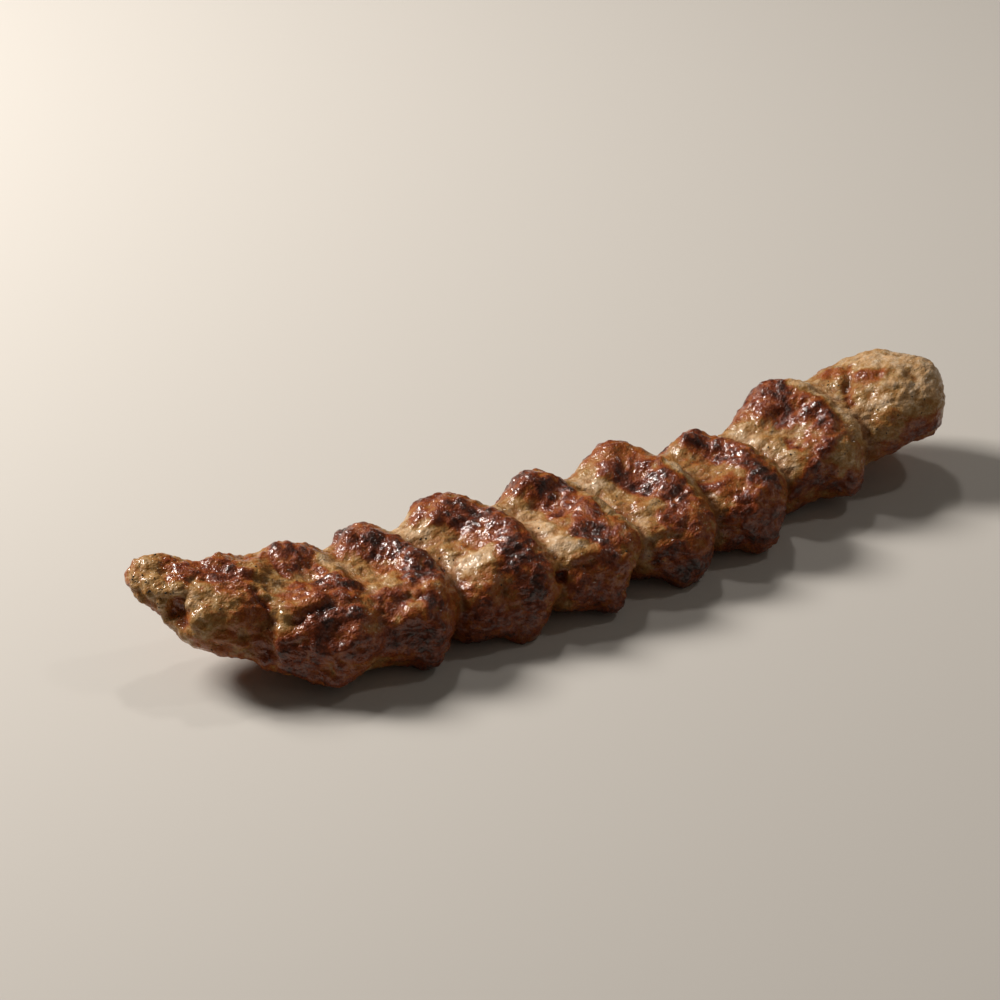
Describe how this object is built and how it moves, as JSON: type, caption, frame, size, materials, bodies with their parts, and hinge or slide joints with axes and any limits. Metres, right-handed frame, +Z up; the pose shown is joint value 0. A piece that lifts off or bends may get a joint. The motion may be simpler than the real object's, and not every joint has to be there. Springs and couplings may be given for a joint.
{
  "type": "kofta skewer",
  "caption": "Grilled minced-meat kofta drawn off its flat skewer: a long strip pressed by the fingers into slanting lobes, tapered at one end, with a round knob at the other.",
  "frame": {"origin": "centre of the underside of the bounding box, on the surface that the strip lies on", "axes": "+X along the strip towards its round end knob, +Y towards the side that both ends curl to, +Z up"},
  "size_m": [0.2354, 0.0502, 0.0315],
  "materials": {
    "seared_mince": "seared and glossy with fat"
  },
  "bodies": {
    "root": {"kofta": "seared_mince"}
  },
  "joints": []
}
